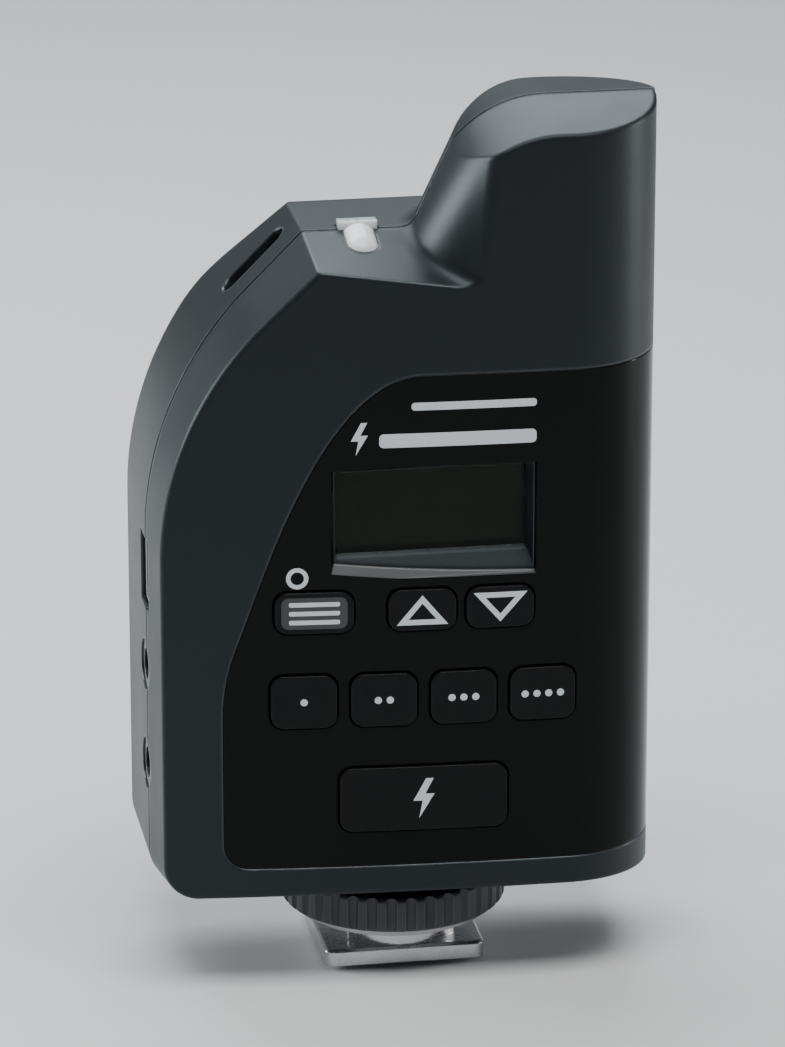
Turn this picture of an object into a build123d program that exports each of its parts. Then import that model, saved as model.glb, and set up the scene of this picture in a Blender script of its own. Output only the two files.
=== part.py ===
from build123d import *
import functools
import math
import os

# Pocket-size radio trigger for studio flash. It stands upright on a camera shoe foot and
# carries its aerial in a stub column that grows out of the right shoulder of the case.
# X runs to the right seen from the display side, Y from the display to the battery door and
# Z up. The origin is the centre of the shoe foot's underside. All sizes are millimetres.

# Case envelope
HALF_WIDTH = 28.9
SEAM_Y = -4.0  # parting plane between the front and rear shells
BACK_Y = 15.0
BASE_Z = 10.0
LEDGE_Z = 86.8  # shoulder beside the aerial column, at the seam
TOP_Z = 101.4
WALL = 1.8
BASE_CORNER_R = 4.0
BACK_EDGE_R = 3.0
BACK_CORNER_R = 7.0
RIM_R = 0.5  # rounding of the outer edges of the display side
SLOPE_START_Z = 75.0  # above this height the back leans in towards the shoulder
SLOPE_TOP_Y = 9.0
FRONT_ARC_R = 332.0  # gentle bow of the display side
FRONT_PLANE = -16.5  # plane of the inner outline that shapes the bevelled band
BAND_IN = 1.2  # how far the flank and the base draw in between the seam and that plane
BAND_DROP = 2.7  # fall of the ledge over the same depth, at the ledge's left end
LEDGE_LEFT_X = -10.4
LEDGE_TWIST = 0.144  # extra fall on that plane for each millimetre to the right

# Left flank seen from the front: a plumb side, an arc through 45 degrees, then a slope
FLANK_TURN = math.radians(45)
FLANK_ARC_Z = 52.2
FLANK_ARC_R = 40.0

# Aerial column
COLUMN_X = 17.9
COLUMN_R = 11.0
COLUMN_LOW_Z = 74.0
COLUMN_HIGH_Z = 104.0
CAP_ARC_R = 13.0
CAP_FALL_X = 16.2  # left of this the top of the column rounds down

# Display side
PANEL_DEPTH = 0.8
PANEL_TOP_Z = 72.5
PANEL_BASE_Z = 14.5
PANEL_LEFT_X = -21.4
PANEL_BEND_Z = 32.5  # below this the panel's left edge is plumb
FIT = 0.08  # gap around parts that sit in a pocket
WINDOW = (-9.6, 13.8, 48.9, 62.0)  # left, right, bottom, top of the display opening
GLASS = (-8.5, 12.9, 51.6, 61.0)  # what stays visible behind the bevels
LENS_Y = -12.5
LENS_RIM = 1.6  # the display window reaches this far behind the wall
LCD_Y = -11.3
BOARD_FRONT = -6.6
BOARD_BACK = -5.4

# Keys: name, centre x, centre z, width, height
KEYS = [
    ("mode_key", -11.2, 45.2, 8.8, 4.8),
    ("up_key", 0.9, 45.2, 7.6, 4.8),
    ("down_key", 9.7, 45.2, 7.6, 4.8),
    ("zone_key_1", -12.4, 34.6, 7.4, 6.2),
    ("zone_key_2", -3.4, 34.6, 7.4, 6.2),
    ("zone_key_3", 5.6, 34.6, 7.4, 6.2),
    ("zone_key_4", 14.6, 34.6, 7.4, 6.2),
    ("test_key", 1.1, 22.6, 19.0, 7.6),
]
KEY_GAP = 0.2
KEY_PROUD = 0.35
KEY_TRAVEL = 0.7
PILL_TOP_Y = -8.6  # top of the mat's raised pill under each key
KEY_END_Y = PILL_TOP_Y - KEY_TRAVEL - 0.1

# Battery bay
BAY_X = 3.0
CELL_R = 7.15
CELL_L = 50.5
CELL_SPREAD = 7.6
CELL_Y = 4.4
BAY = (-12.3, 18.3, 15.2, 71.6)  # inside of the tray: left, right, bottom, top
TRAY_WALL = 1.2
TRAY_FLOOR_Y = -3.9
TRAY_EAR_Y = 5.0  # back face of the two screw ears above the bay
TRAY_SCREWS_X = (-6.0, 12.0)
TRAY_SCREWS_Z = 77.6
DOOR_Y = 13.1
DOOR_TOP = 71.4
HINGE_Y = 13.4
HINGE_Z = 17.2
HINGE_R = 1.6
PIN_R = 0.75
LATCH_BASE_Z = 59.2
LATCH_L = 5.0
LATCH_TRAVEL = 2.5

# Shoe foot
FOOT_W = 18.6
FOOT_L = 18.0
FOOT_T = 2.0
NECK_W = 12.4
STEM_R = 8.5
STEM_FLAT = 7.5
STEM_Z = 4.2
RING_R = 13.0
RING_Z = 5.3
RING_H = 4.2
WASHER_Z = 4.4
WASHER_R = 11.5
THREAD_PITCH = 1.5

CASE_SCREWS = [(-23.5, 17.0), (23.5, 17.0), (-18.5, 66.0), (23.0, 74.6)]
BOARD_SCREWS = [(-22.6, 30.0), (22.9, 45.0), (-19.8, 57.4), (22.9, 69.0)]
JACKS_Z = (24.0, 36.0)
JACK_Y = -2.2
PLUG_R = 1.8
USB_Z = 47.5
USB_H = 7.8
USB_BACK = -0.3
INSERT_Z = 44.0
INSERT_Y = 4.0
INSERT_L = 7.0
INSERT_BORE_R = 2.55
LIGHT_X = -4.6
LIGHT_R = 2.0
LIGHT_L = 3.0  # straight length of the light pipe in front of the seam
SLOT_L = 9.6
SLOT_W = 3.2
SLOT_Y = 1.8
SLOT_UP = 2.2  # slot's middle, measured up the straight slope


# ---------------------------------------------------------------- small helpers
def block(x0, x1, y0, y1, z0, z1):
    """Box between two corners."""
    centre = Pos((x0 + x1) / 2, (y0 + y1) / 2, (z0 + z1) / 2)
    return centre * Box(x1 - x0, y1 - y0, z1 - z0)


def rod(x, y, z, direction, radius, length):
    """Cylinder that starts at a point and runs along a direction."""
    return Plane(origin=(x, y, z), z_dir=direction) * Cylinder(
        radius, length, align=(Align.CENTER, Align.CENTER, Align.MIN)
    )


def pad(x, z, width, height, radius, y0, y1):
    """Rounded rectangle in the XZ plane, pulled along Y from y0 to y1."""
    face = Pos(x, z) * RectangleRounded(width, height, radius)
    turned = Plane(origin=(0, y0, 0), x_dir=(1, 0, 0), z_dir=(0, -1, 0)) * face
    return extrude(turned, amount=y1 - y0, dir=(0, 1, 0))


def face_of(edges):
    """Planar face inside a closed run of edges."""
    return Face(Wire(edges))


def upright_rectangle(left, right, bottom, top, y):
    """Rectangular face that looks along Y."""
    corners = [(left, y, bottom), (right, y, bottom), (right, y, top), (left, y, top)]
    return Face(Wire.make_polygon(corners, close=True))


def front_y(x, inset=0.0):
    """Depth of the display side's surface at a given x."""
    radius = FRONT_ARC_R - inset
    centre = SEAM_Y - COLUMN_R + inset + radius
    return centre - math.sqrt(radius**2 - (x - COLUMN_X) ** 2)


def edges_in(shape, low, high, min_length=0.0):
    """Edges whose middle lies between two corners."""
    found = []
    for edge in shape.edges():
        middle = edge @ 0.5
        inside = all(a < m < b for a, m, b in zip(low, middle, high))
        if inside and edge.length > min_length:
            found.append(edge)
    return found


def coil(x, y, z, radius, wire, pitch, height):
    """Round wire wound on a vertical helix."""
    path = Helix(pitch=pitch, height=height, radius=radius)
    ring = Plane(origin=path @ 0, z_dir=path % 0) * Circle(wire)
    return Pos(x, y, z) * sweep(ring, path=path, is_frenet=True)


def wire_run(points, start, end, radius):
    """Insulated lead along a smooth run of points, with a direction at each end."""
    path = Spline(*points, tangents=[start, end])
    return sweep(Plane(origin=path @ 0, z_dir=path % 0) * Circle(radius), path=path)


# ---------------------------------------------------------------- case envelope
def case_outline(y, left, arc_z, arc_r, ledge, base, twist=0.0):
    """The case seen from the front, on the plane at y. Its right side runs out past the case."""
    right = HALF_WIDTH + 5.0

    def on_arc(angle):
        return (left + arc_r * (1 - math.cos(angle)), y, arc_z + arc_r * math.sin(angle))

    start = on_arc(0)
    end = on_arc(FLANK_TURN)
    shoulder = (end[0] + ledge - end[2], y, ledge)
    far = (right, y, ledge - twist * (right - shoulder[0]))
    face = face_of(
        [
            ThreePointArc(start, on_arc(FLANK_TURN / 2), end),
            Line(end, shoulder),
            Line(shoulder, far),
            Line(far, (right, y, base)),
            Line((right, y, base), (left, y, base)),
            Line((left, y, base), start),
        ]
    )
    return face.fillet_2d(BASE_CORNER_R, [v for v in face.vertices() if abs(v.Z - base) < 0.01])


def plan_prism(inset):
    """The case seen from above: bowed front, round right front edge, pulled up to full height."""
    radius = COLUMN_R - inset
    front = SEAM_Y - radius
    right = COLUMN_X + radius
    back = BACK_Y - inset
    corner = BACK_CORNER_R - inset
    left = -HALF_WIDTH - 4.0
    diagonal = math.sqrt(0.5)
    z = 5.0
    face = face_of(
        [
            ThreePointArc(
                (left, front_y(left, inset), z),
                (left / 4, front_y(left / 4, inset), z),
                (COLUMN_X, front, z),
            ),
            ThreePointArc(
                (COLUMN_X, front, z),
                (COLUMN_X + radius * diagonal, SEAM_Y - radius * diagonal, z),
                (right, SEAM_Y, z),
            ),
            Line((right, SEAM_Y, z), (right, back - corner, z)),
            ThreePointArc(
                (right, back - corner, z),
                (right - corner * (1 - diagonal), back - corner * (1 - diagonal), z),
                (right - corner, back, z),
            ),
            Line((right - corner, back, z), (left, back, z)),
            Line((left, back, z), (left, front_y(left, inset), z)),
        ]
    )
    return extrude(face, amount=TOP_Z + 5.0, dir=(0, 0, 1))


def side_prism(inset):
    """The rear of the case seen from the side, with the slope above the battery door."""
    low = BASE_Z + inset
    back = BACK_Y - inset
    top = LEDGE_Z + 5.0
    corners = [
        (-20.0, low),
        (back, low),
        (back, SLOPE_START_Z),
        (SLOPE_TOP_Y - inset, LEDGE_Z + 0.5 - inset),
        (SLOPE_TOP_Y - inset, top),
        (-20.0, top),
    ]
    side = Face(Wire.make_polygon([(-40, y, z) for y, z in corners], close=True))
    heel = [v for v in side.vertices() if v.Y > 0 and abs(v.Z - low) < 0.01]
    side = side.fillet_2d(3.0 - inset / 2, heel)
    knee = [v for v in side.vertices() if abs(v.Z - SLOPE_START_Z) < 0.01]
    side = side.fillet_2d(12.0, knee)
    return extrude(side, amount=80, dir=(1, 0, 0))


def column_section(z, inset):
    """Level slice of the aerial column: upright on the right, leaning flank on the left."""
    lean = (z - 84.5) / 13.5
    left = 0.3 + 6.5 * lean + inset
    run = 10.0 - 7.0 * lean
    radius = COLUMN_R - inset
    quarter = 0.5523  # Bezier handle length of a quarter ellipse
    front = SEAM_Y - 15.0
    outside = HALF_WIDTH + 5.5
    back = SEAM_Y + radius
    diagonal = radius * math.sqrt(0.5)
    return face_of(
        [
            Bezier(
                (left, SEAM_Y, z),
                (left, SEAM_Y - 6.0, z),
                (left + 0.35 * run, SEAM_Y - 10.0, z),
                (left + 1.6 * run, front, z),
            ),
            Line((left + 1.6 * run, front, z), (outside, front, z)),
            Line((outside, front, z), (outside, SEAM_Y, z)),
            Line((outside, SEAM_Y, z), (COLUMN_X + radius, SEAM_Y, z)),
            ThreePointArc(
                (COLUMN_X + radius, SEAM_Y, z),
                (COLUMN_X + diagonal, SEAM_Y + diagonal, z),
                (COLUMN_X, back, z),
            ),
            Bezier(
                (COLUMN_X, back, z),
                (COLUMN_X - quarter * (COLUMN_X - left), back, z),
                (left, SEAM_Y + quarter * radius, z),
                (left, SEAM_Y, z),
            ),
        ]
    )


def cap_cutters(inset):
    """Two solids above the column's top: one falls towards the front, one towards the back."""
    top = TOP_Z - inset
    turn = math.radians(48)

    def on_arc(angle):
        drop = CAP_ARC_R * (1 - math.cos(angle))
        return (CAP_FALL_X - CAP_ARC_R * math.sin(angle), SEAM_Y, top - drop)

    end = on_arc(turn)
    tail = (end[0] - 10 * math.cos(turn), SEAM_Y, end[2] - 10 * math.sin(turn))
    start = (40, SEAM_Y, top)
    roof = top + 30
    face = face_of(
        [
            Line(start, on_arc(0)),
            ThreePointArc(on_arc(0), on_arc(turn / 2), end),
            Line(end, tail),
            Line(tail, (tail[0], SEAM_Y, roof)),
            Line((tail[0], SEAM_Y, roof), (40, SEAM_Y, roof)),
            Line((40, SEAM_Y, roof), start),
        ]
    )
    falling_front = extrude(face, amount=20, dir=(0, -1, -0.18))
    falling_back = extrude(face, amount=20, dir=(0, 1, -0.10))
    return falling_front, falling_back


@functools.cache
def envelope(inset):
    """The outside of the closed case, drawn in by inset. A wall is one envelope less another."""
    seam = case_outline(
        SEAM_Y, inset - HALF_WIDTH, FLANK_ARC_Z, FLANK_ARC_R - inset, LEDGE_Z - inset, BASE_Z + inset
    )
    inner = case_outline(
        FRONT_PLANE,
        inset - HALF_WIDTH + BAND_IN,
        FLANK_ARC_Z - 2.0,
        FLANK_ARC_R - inset,
        LEDGE_Z - BAND_DROP - inset,
        BASE_Z + BAND_IN + inset,
        LEDGE_TWIST,
    )
    rear = extrude(seam, amount=BACK_Y - SEAM_Y, dir=(0, 1, 0)) & side_prism(inset)
    front = loft([seam, inner], ruled=True)
    column = loft(
        [column_section(COLUMN_LOW_Z, inset), column_section(COLUMN_HIGH_Z, inset)], ruled=True
    )
    whole = (rear + front + column) & plan_prism(inset)
    for cutter in cap_cutters(inset):
        whole -= cutter
    return whole


FRONT_HALF = block(-60, 60, -60, SEAM_Y, -20, 140)
REAR_HALF = block(-60, 60, SEAM_Y, 60, -20, 140)


@functools.cache
def front_outside():
    """Front half of the envelope with the column's crease and foot softened."""
    half = envelope(0) & FRONT_HALF
    foot = edges_in(half, (0, -12, 82), (3, -5, 88), 5)
    crease = edges_in(half, (2, -16, 86), (9, -14, 95))
    half = fillet(foot + crease, 2.0)
    left_band = edges_in(half, (-29.4, -15, 10), (-8, -11.4, 83))
    low_band = edges_in(half, (-8, -15, 10), (28, -11.4, 12))
    half = fillet(left_band + low_band, RIM_R)
    rims = [
        edge
        for edge in edges_in(half, (6, -16, 96), (28.8, SEAM_Y - 0.2, TOP_Z - 0.1), 2.0)
        if abs((edge @ 0.5).X - CAP_FALL_X) > 0.2
    ]
    return fillet(rims, 0.4)


@functools.cache
def rear_outside():
    """Rear half of the envelope with its back edges and the column's foot softened."""
    half = envelope(0) & REAR_HALF
    foot = edges_in(half, (0, -4.2, LEDGE_Z - 0.3), (27, 7, LEDGE_Z + 0.7), 5)
    half = fillet(foot, 2.0)
    rims = []
    for edge in edges_in(half, (-40, 8, 12), (28.75, 20, 90)):
        middle = edge @ 0.5
        across = abs((edge % 0.5).X) > 0.99 and 60 < middle.Z < 80
        sloped_left = middle.X < -9
        if (edge.length > 4 and not across) or sloped_left:
            rims.append(edge)
    return fillet(rims, BACK_EDGE_R)


def seam_groove(outside):
    """Shadow line cut into the front shell's outer edge where the shells meet."""
    band = block(-60, 60, SEAM_Y - 0.3, SEAM_Y, -20, 140)
    return (outside & band) - envelope(0.35)


# ---------------------------------------------------------------- cut-outs shared by the shells
def panel_outline(grow):
    """Sweeping outline of the gloss panel, seen from the front."""
    top = PANEL_TOP_Z + grow
    base = PANEL_BASE_Z - grow
    right = HALF_WIDTH + 5.0
    left = PANEL_LEFT_X - grow
    corner = 3.0
    slant = math.radians(20)
    bend = 24.0  # radius that turns the slanted edge plumb
    y = FRONT_PLANE - 3.0

    def on_bend(angle):
        return (left + bend * (1 - math.cos(angle)), y, PANEL_BEND_Z + bend * math.sin(angle))

    low = on_bend(slant)
    high = (low[0] + 9.6 * math.sin(slant), y, low[2] + 9.6 * math.cos(slant))
    handle = (high[0] + 12.6 * math.sin(slant), y, high[2] + 12.6 * math.cos(slant))
    return face_of(
        [
            Line((right, y, top), (1.0, y, top)),
            Bezier((1.0, y, top), (-6.5, y, top), handle, high),
            Line(high, low),
            ThreePointArc(low, on_bend(slant / 2), on_bend(0)),
            Line(on_bend(0), (left, y, base + corner)),
            ThreePointArc(
                (left, y, base + corner),
                (left + 0.293 * corner, y, base + 0.293 * corner),
                (left + corner, y, base),
            ),
            Line((left + corner, y, base), (right, y, base)),
            Line((right, y, base), (right, y, top)),
        ]
    )


def panel_prism(grow):
    """The panel's outline pulled back to just short of the seam."""
    return extrude(panel_outline(grow), amount=15.0, dir=(0, 1, 0))


def window_cutter():
    """Funnel through the panel and shell: a deep sill below the display, thin bevels elsewhere."""
    outer_y = SEAM_Y - COLUMN_R + 0.6
    funnel = loft([upright_rectangle(*WINDOW, outer_y), upright_rectangle(*GLASS, LENS_Y)], ruled=True)
    left, right, bottom, top = WINDOW
    return funnel + block(left, right, outer_y - 4, outer_y, bottom, top)


def lens_seat(grow):
    """Plate space for the display window on the inside of the front wall."""
    left, right, bottom, top = GLASS
    rim = LENS_RIM + grow
    return block(left - rim, right + rim, LENS_Y, LENS_Y + 6, bottom - rim, top + rim)


def light_body(grow):
    """Clear pip that straddles the seam on the ledge: a bullet in front and a bar behind."""
    drop = BAND_DROP + LEDGE_TWIST * (LIGHT_X - LEDGE_LEFT_X)
    radius = LIGHT_R + grow
    along = Vector(0, FRONT_PLANE - SEAM_Y, -drop).normalized()
    start = Vector(LIGHT_X, SEAM_Y, LEDGE_Z - 1.25)
    end = start + along * LIGHT_L
    bullet = rod(start.X, start.Y, start.Z, along, radius, LIGHT_L)
    nose = Pos(end) * Sphere(radius)
    reach = LIGHT_R + 0.2 + grow
    back = SEAM_Y + 1.9 + grow
    top = LEDGE_Z + 0.75 + grow
    bar = block(LIGHT_X - reach, LIGHT_X + reach, SEAM_Y, back, LEDGE_Z - 3.0, top)
    bar = fillet(edges_in(bar, (-20, back - 0.5, LEDGE_Z - 2.9), (20, back + 1, top + 1)), 0.5)
    return bullet + nose + bar


def lanyard_plane():
    """Frame on the sloping shoulder: x along the slope, z out of the case."""
    across = math.cos(FLANK_TURN)
    up = math.sin(FLANK_TURN)
    x = FLANK_ARC_R * (1 - across) - HALF_WIDTH + SLOT_UP * up
    z = FLANK_ARC_Z + FLANK_ARC_R * up + SLOT_UP * across
    return Plane(origin=(x, SLOT_Y, z), x_dir=(up, 0, across), z_dir=(-across, 0, up))


def lanyard_slot():
    """Strap slot sunk into the sloping shoulder."""
    return lanyard_plane() * extrude(
        Pos(0, 0, -4.5) * SlotOverall(SLOT_L, SLOT_W), amount=8.0, dir=(0, 0, 1)
    )


def foot_pad(gap):
    """The rear shell's tongue under the front shell, so that the foot bolts to one shell only."""
    return block(-12 - gap, 12 + gap, -10 - gap, SEAM_Y, BASE_Z - 1, BASE_Z + WALL + gap)


def port_cutters():
    """Openings in the left wall for the two sync sockets and the data socket."""
    cuts = [rod(-HALF_WIDTH - 2, JACK_Y, z, (1, 0, 0), 2.95, 6) for z in JACKS_Z]
    low = USB_Z - USB_H / 2 - 0.3
    high = USB_Z + USB_H / 2 + 0.3
    cuts.append(block(-HALF_WIDTH - 2, -HALF_WIDTH + 4, BOARD_BACK - 0.1, USB_BACK + 0.3, low, high))
    return cuts


# ---------------------------------------------------------------- shells and panel
def key_hole(x, z, width, height):
    grow = 2 * KEY_GAP
    return pad(x, z, width + grow, height + grow, 1.5 + KEY_GAP, -25, KEY_END_Y)


def front_shell():
    outside = front_outside()
    shell = outside - envelope(WALL)
    inside = envelope(WALL - 0.4) & FRONT_HALF
    for x, z in CASE_SCREWS:
        shell += rod(x, -16, z, (0, 1, 0), 2.8, 16 + SEAM_Y - 0.05) & inside
    for x, z in BOARD_SCREWS:
        shell += rod(x, -16, z, (0, 1, 0), 1.9, 16 + BOARD_FRONT) & inside
    left, right, bottom, top = GLASS
    shell += block(left - 2.6, right + 2.6, -16, LENS_Y + 0.6, bottom - 2.4, top + 2.6) & inside
    pocket = (outside & panel_prism(FIT)) - envelope(PANEL_DEPTH + FIT)
    shell -= pocket
    shell -= window_cutter()
    shell -= lens_seat(0.1)
    for _, x, z, width, height in KEYS:
        shell -= key_hole(x, z, width, height)
    for x, z in CASE_SCREWS:
        shell -= rod(x, -11, z, (0, 1, 0), 0.95, 12)
    for x, z in BOARD_SCREWS:
        shell -= rod(x, -11, z, (0, 1, 0), 0.65, 12)
    for cut in port_cutters():
        shell -= cut
    shell -= foot_pad(0.1)
    for x, y in foot_screw_places():
        shell -= rod(x, y, BASE_Z + WALL, (0, 0, 1), 1.9, 2.0)
    shell -= light_body(0.1)
    return shell - seam_groove(outside)


def face_panel():
    """Gloss moulding let into the display side."""
    skin = ((front_outside() & panel_prism(0)) - envelope(PANEL_DEPTH)) - window_cutter()
    for _, x, z, width, height in KEYS:
        skin -= key_hole(x, z, width, height)
    return skin


def display_window():
    left, right, bottom, top = GLASS
    rim = LENS_RIM
    return block(left - rim, right + rim, LENS_Y + 0.02, LENS_Y + 1.0, bottom - rim, top + rim)


def rear_shell():
    outside = rear_outside()
    shell = outside - envelope(WALL)
    inside = envelope(WALL - 0.4)
    rear_inside = inside & REAR_HALF
    shell += (envelope(0) - envelope(WALL)) & foot_pad(0)
    for x, z in CASE_SCREWS:
        shell += rod(x, SEAM_Y, z, (0, 1, 0), 3.0, 25) & rear_inside
    shell += (lanyard_plane() * Pos(0, 0, -2.9) * Box(SLOT_L + 3, SLOT_W + 3.2, 5.2)) & rear_inside
    insert_boss = rod(HALF_WIDTH - INSERT_L - 1.2, INSERT_Y, INSERT_Z, (1, 0, 0), 5.6, INSERT_L)
    shell += insert_boss & rear_inside
    for x in TRAY_SCREWS_X:
        shell += rod(x, TRAY_EAR_Y, TRAY_SCREWS_Z, (0, 1, 0), 2.2, 12) & rear_inside
    left, right, bottom, top = BAY
    shell -= block(left - 0.9, right + 0.9, DOOR_Y - 0.5, 20, bottom + 0.2, top)
    bevel = [(left - 0.9, y, z) for y, z in ((13.2, 15.4), (15.2, 13.4), (15.2, 15.5))]
    bevel = Face(Wire.make_polygon(bevel, close=True))
    shell -= extrude(bevel, amount=right - left + 1.8, dir=(1, 0, 0))
    for start in (left + 0.1, right - 2.8):
        ear = rod(start, HINGE_Y, HINGE_Z, (1, 0, 0), HINGE_R, 2.7)
        ear += block(start, start + 2.7, 13.2, 14.2, 12.5, HINGE_Z)
        shell += ear - rod(start - 1, HINGE_Y, HINGE_Z, (1, 0, 0), PIN_R, 5)
    for x, z in CASE_SCREWS:
        shell -= rod(x, SEAM_Y - 1, z, (0, 1, 0), 1.25, 12)
        shell -= rod(x, 6, z, (0, 1, 0), 2.3, 14)
    for x in TRAY_SCREWS_X:
        shell -= rod(x, TRAY_EAR_Y - 0.1, TRAY_SCREWS_Z, (0, 1, 0), 0.8, 6)
    shell -= lanyard_slot()
    shell -= lanyard_plane() * Pos(0, 0, -2.0) * Rot(90, 0, 0) * Cylinder(0.8, SLOT_W + 2.4)
    shell -= rod(HALF_WIDTH - INSERT_L, INSERT_Y, INSERT_Z, (1, 0, 0), 4.0, INSERT_L + 1)
    for cut in port_cutters():
        shell -= cut
    shell -= rod(0, 0, 8, (0, 0, 1), 2.7, 6)
    for x, y in foot_screw_places():
        shell -= rod(x, y, 8, (0, 0, 1), 1.0, 6)
    return shell - light_body(0.1)


# ---------------------------------------------------------------- keys and display
def key(x, z, width, height):
    """Hard key cap with a flange behind the wall. Its top follows the bow of the display side."""
    cap = pad(x, z, width, height, 1.5, -20, KEY_END_Y)
    cap &= plan_prism(-KEY_PROUD)
    flange_y = front_y(x - width / 2 - 0.5, WALL) + 0.1
    return cap + pad(x, z, width + 1.0, height + 1.0, 1.8, flange_y, flange_y + 0.8)


def keypad_mat():
    """Silicone sheet on the board: hollow under each key, with a raised pill over the hollow."""
    sheet = pad(0.9, 32.6, 36.4, 30.2, 2.5, BOARD_FRONT - 1.2, BOARD_FRONT)
    for _, x, z, width, _ in KEYS:
        sheet += pad(x, z, min(width, 8.0) - 2.0, 3.6, 1.2, PILL_TOP_Y, BOARD_FRONT - 1.1)
        sheet -= block(x - 3.2, x + 3.2, BOARD_FRONT - 0.5, BOARD_FRONT + 1, z - 3.2, z + 3.2)
    return sheet


def dome_switches():
    domes = []
    for _, x, z, _, _ in KEYS:
        ball = Pos(x, BOARD_FRONT + 9.0, z) * Sphere(9.4)
        domes.append(ball & block(x - 3, x + 3, BOARD_FRONT - 0.4, BOARD_FRONT, z - 3, z + 3))
    return domes


def lcd_panel():
    left, right, bottom, top = GLASS
    return block(left - 1.4, right + 1.4, LCD_Y, LCD_Y + 1.6, bottom - 1.4, top + 1.4)


def lcd_holder():
    """Frame that carries the display and its light guide."""
    left, right, bottom, top = GLASS
    frame = block(left - 2.6, right + 2.6, LCD_Y + 0.2, BOARD_FRONT, bottom - 3.0, top + 3.4)
    frame -= block(left - 1.5, right + 1.5, LCD_Y - 1, LCD_Y + 1.65, bottom - 1.5, top + 1.5)
    frame -= block(left + 0.4, right - 0.4, LCD_Y, BOARD_FRONT + 1, bottom + 1.2, top - 1.2)
    for z in (bottom - 0.6, top - 0.9):
        frame -= block(left + 0.4, right - 0.4, LCD_Y, BOARD_FRONT + 1, z, z + 1.5)
    return frame


def light_guide():
    left, right, bottom, top = GLASS
    return block(left + 0.5, right - 0.5, LCD_Y + 1.7, LCD_Y + 3.6, bottom + 1.3, top - 1.3)


def zebra_strips():
    """Conductive rubber between the display glass and the board."""
    left, right, bottom, top = GLASS
    strips = []
    for z in (bottom - 0.55, top - 0.85):
        strips.append(block(left + 0.5, right - 0.5, LCD_Y + 1.62, BOARD_FRONT - 0.02, z, z + 1.4))
    return strips


# ---------------------------------------------------------------- electronics
def main_board():
    board = pad(0, 45.6, 51.0, 62.8, 1.0, BOARD_FRONT, BOARD_BACK)
    board &= envelope(WALL + 0.5)
    for x, z in CASE_SCREWS:
        board -= rod(x, -10, z, (0, 1, 0), 3.2, 10)
    board -= block(19.3, 30, -10, 0, 75, 90)
    for x, z in BOARD_SCREWS:
        board -= rod(x, -10, z, (0, 1, 0), 0.9, 10)
    return board


def board_chips():
    """Processor, crystal, regulator and small parts on the board."""
    chips = [
        block(2.0, 9.0, BOARD_FRONT - 1.0, BOARD_FRONT, 67.0, 74.0),
        block(-3.4, 0.0, BOARD_FRONT - 1.2, BOARD_FRONT, 68.2, 73.2),
        block(19.8, 23.0, BOARD_FRONT - 1.1, BOARD_FRONT, 34.0, 38.6),
        block(20.0, 22.6, BOARD_FRONT - 1.4, BOARD_FRONT, 22.6, 27.0),
        block(-24.4, -21.8, BOARD_FRONT - 0.9, BOARD_FRONT, 39.0, 43.0),
    ]
    for step in range(4):
        x = -16.0 + 2.4 * step
        chips.append(block(x - 0.4, x + 0.4, BOARD_FRONT - 0.6, BOARD_FRONT, 69.2, 70.8))
    return chips


def rf_shield():
    """Folded tin can over the radio, open towards the board."""
    can = block(15.6, 25.2, BOARD_FRONT - 2.6, BOARD_FRONT, 50.4, 66.4)
    can &= envelope(WALL + 0.3)
    return can - block(15.9, 24.9, BOARD_FRONT - 2.3, BOARD_FRONT + 1, 50.7, 66.1)


def aerial_coil():
    coiled = coil(0, 0, 79.5, 3.2, 0.45, 2.6, 15.6)
    tail = rod(3.2, 0, 76.0, (0, 0, 1), 0.45, 3.5)
    foot = rod(3.2, 0, 76.2, (0, 1, 0), 0.45, SEAM_Y - BOARD_BACK)
    return Pos(COLUMN_X, SEAM_Y) * Rot(0, 0, 180) * (coiled + tail + foot)


def aerial_former():
    """Plastic core the aerial is wound on, with a clip over the top of the board."""
    core = rod(COLUMN_X, SEAM_Y, 77.0, (0, 0, 1), 2.6, 19.5)
    clip = block(COLUMN_X - 2.0, COLUMN_X + 1.6, BOARD_FRONT - 1.0, SEAM_Y + 0.5, 75.0, 79.0)
    board = block(COLUMN_X - 4, COLUMN_X + 4, BOARD_FRONT - 0.05, BOARD_BACK + 0.05, 70, 77.1)
    return core + (clip - board)


def status_light_pipe():
    stem = block(LIGHT_X - 1.2, LIGHT_X + 1.2, -8.4, -6.9, 77.6, 84.0)
    return light_body(0) + stem


def status_led():
    return block(LIGHT_X - 1.0, LIGHT_X + 1.0, BOARD_FRONT - 1.7, BOARD_FRONT, 75.4, 76.9)


def sync_socket(z):
    """3.5 mm socket: square plastic body with a round nose in the case wall."""
    body = block(-26.0, -14.2, BOARD_BACK, JACK_Y + 3.0, z - 3.0, z + 3.0)
    nose = rod(-HALF_WIDTH + 0.2, JACK_Y, z, (1, 0, 0), 2.85, 3)
    return (body + nose) - rod(-HALF_WIDTH - 1, JACK_Y, z, (1, 0, 0), PLUG_R, 14.3)


def usb_socket():
    """Folded metal data socket with its contact tongue."""
    mouth = -HALF_WIDTH + 0.5
    wall = 0.45
    middle = (BOARD_BACK + USB_BACK) / 2
    half = USB_H / 2
    shell = block(mouth, -19.2, BOARD_BACK, USB_BACK, USB_Z - half, USB_Z + half)
    half -= wall
    shell -= block(mouth - 1, -19.8, BOARD_BACK + wall, USB_BACK - wall, USB_Z - half, USB_Z + half)
    return shell + block(mouth + 2, -19.5, middle - 0.4, middle + 0.4, USB_Z - 2.4, USB_Z + 2.4)


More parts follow.
